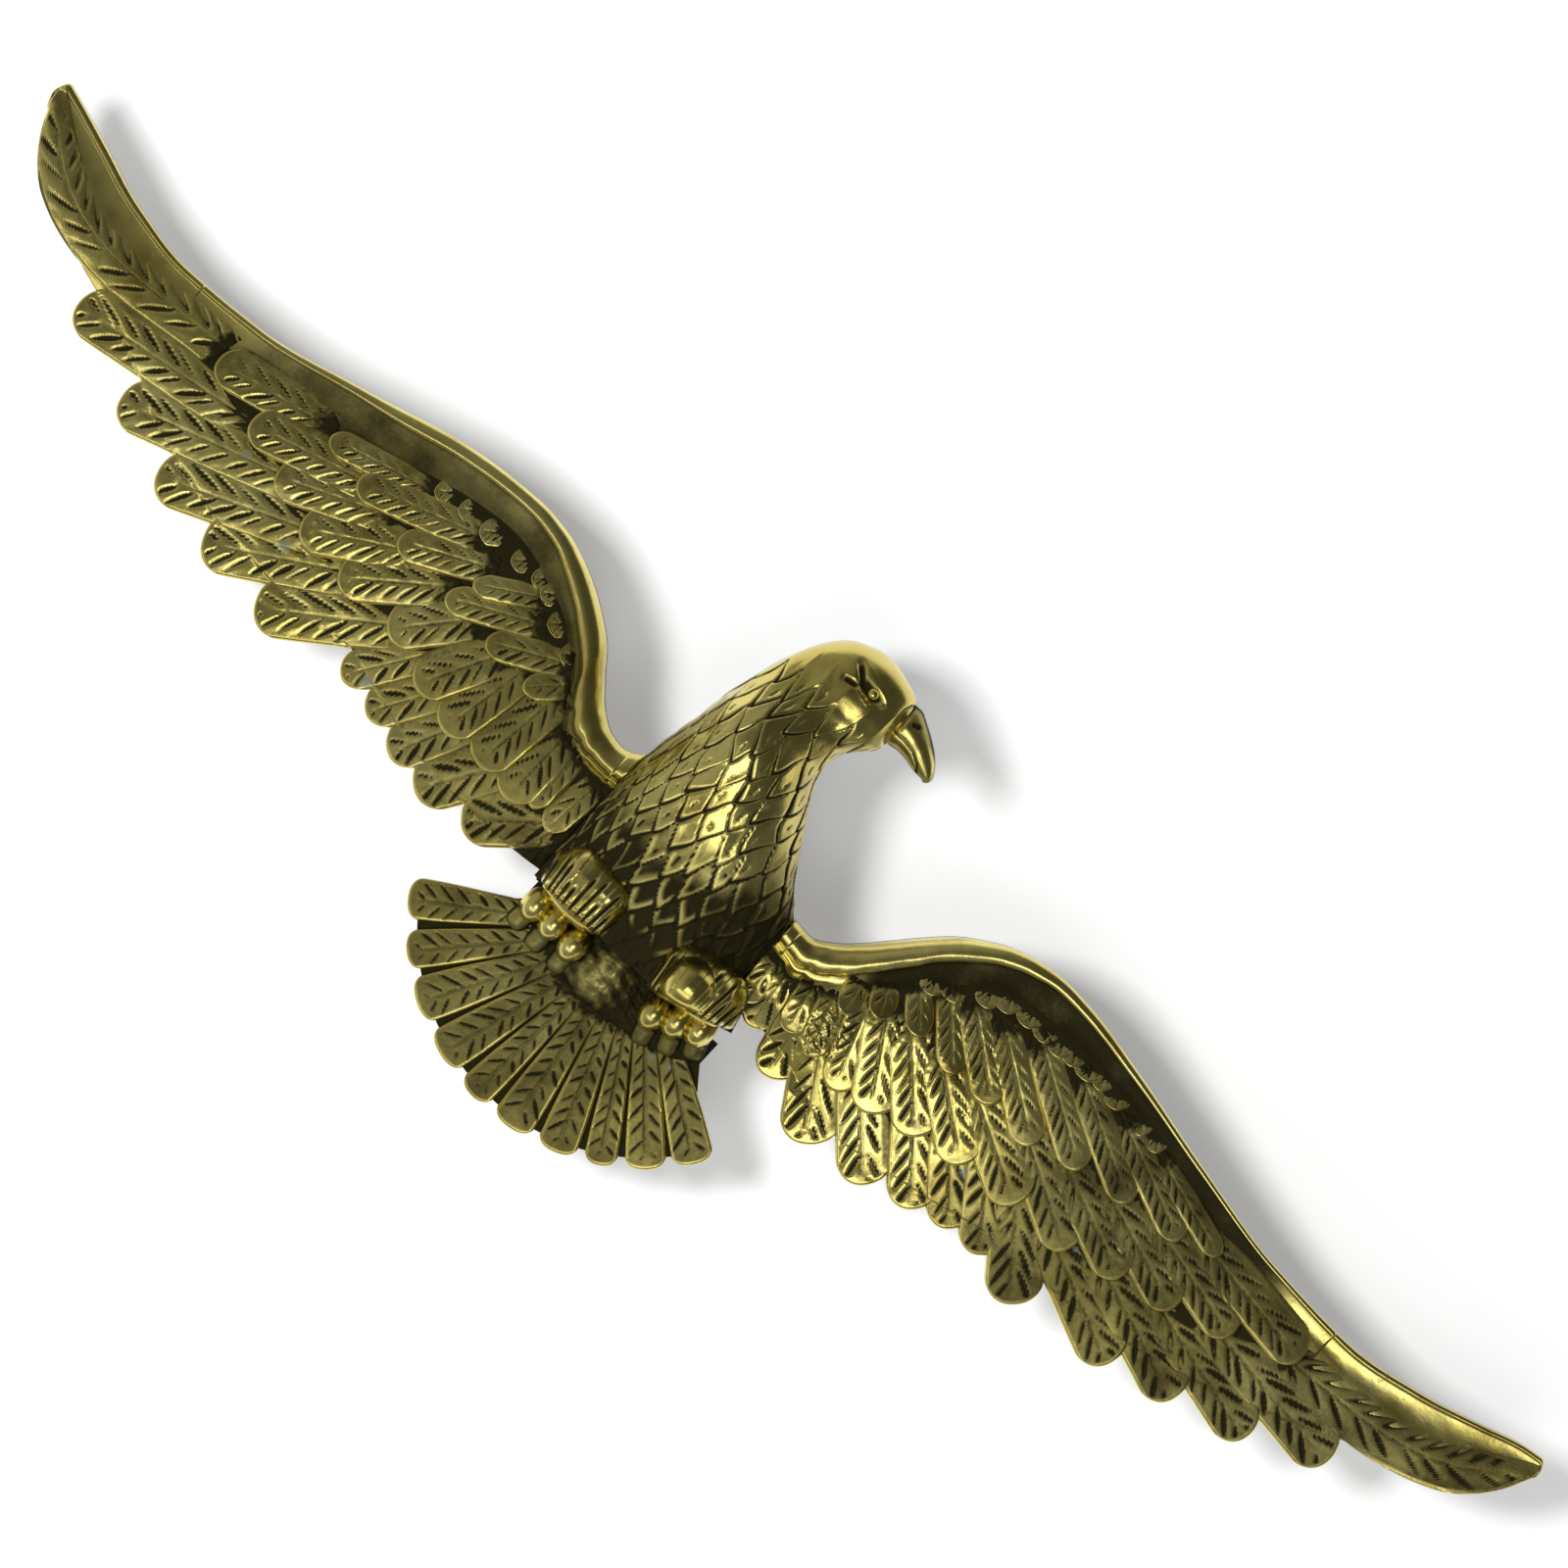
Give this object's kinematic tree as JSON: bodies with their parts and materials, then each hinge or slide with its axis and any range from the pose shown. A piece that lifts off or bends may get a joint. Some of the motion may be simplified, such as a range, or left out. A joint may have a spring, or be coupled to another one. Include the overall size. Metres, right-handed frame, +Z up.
{
  "type": "eagle wall plaque",
  "caption": "Cast brass eagle relief with spread wings, a fanned tail and a hollow back, hung on a wall by two keyhole plates.",
  "frame": {"origin": "on the wall plane, midway between the round entry holes of the two keyhole plates", "axes": "+X along the wings to the right as seen from the front, +Y into the wall, +Z up as hung"},
  "size_m": [0.6082, 0.04, 0.1817],
  "materials": {
    "cast_brass": "hand-polished olive-gold brass with dark patina in the recesses",
    "plate_brass": "rolled brass sheet, lightly tarnished",
    "screw_steel": "plain zinc-plated steel"
  },
  "bodies": {
    "root": {"body_shell": "cast_brass", "left_wing": "cast_brass", "right_wing": "cast_brass", "tail_fan": "cast_brass", "left_foot": "cast_brass", "right_foot": "cast_brass", "left_wing_screws": "screw_steel", "right_wing_screws": "screw_steel", "tail_screws": "screw_steel", "left_hanger_plate": "plate_brass", "right_hanger_plate": "plate_brass", "left_hanger_screws": "screw_steel", "right_hanger_screws": "screw_steel"}
  },
  "joints": []
}
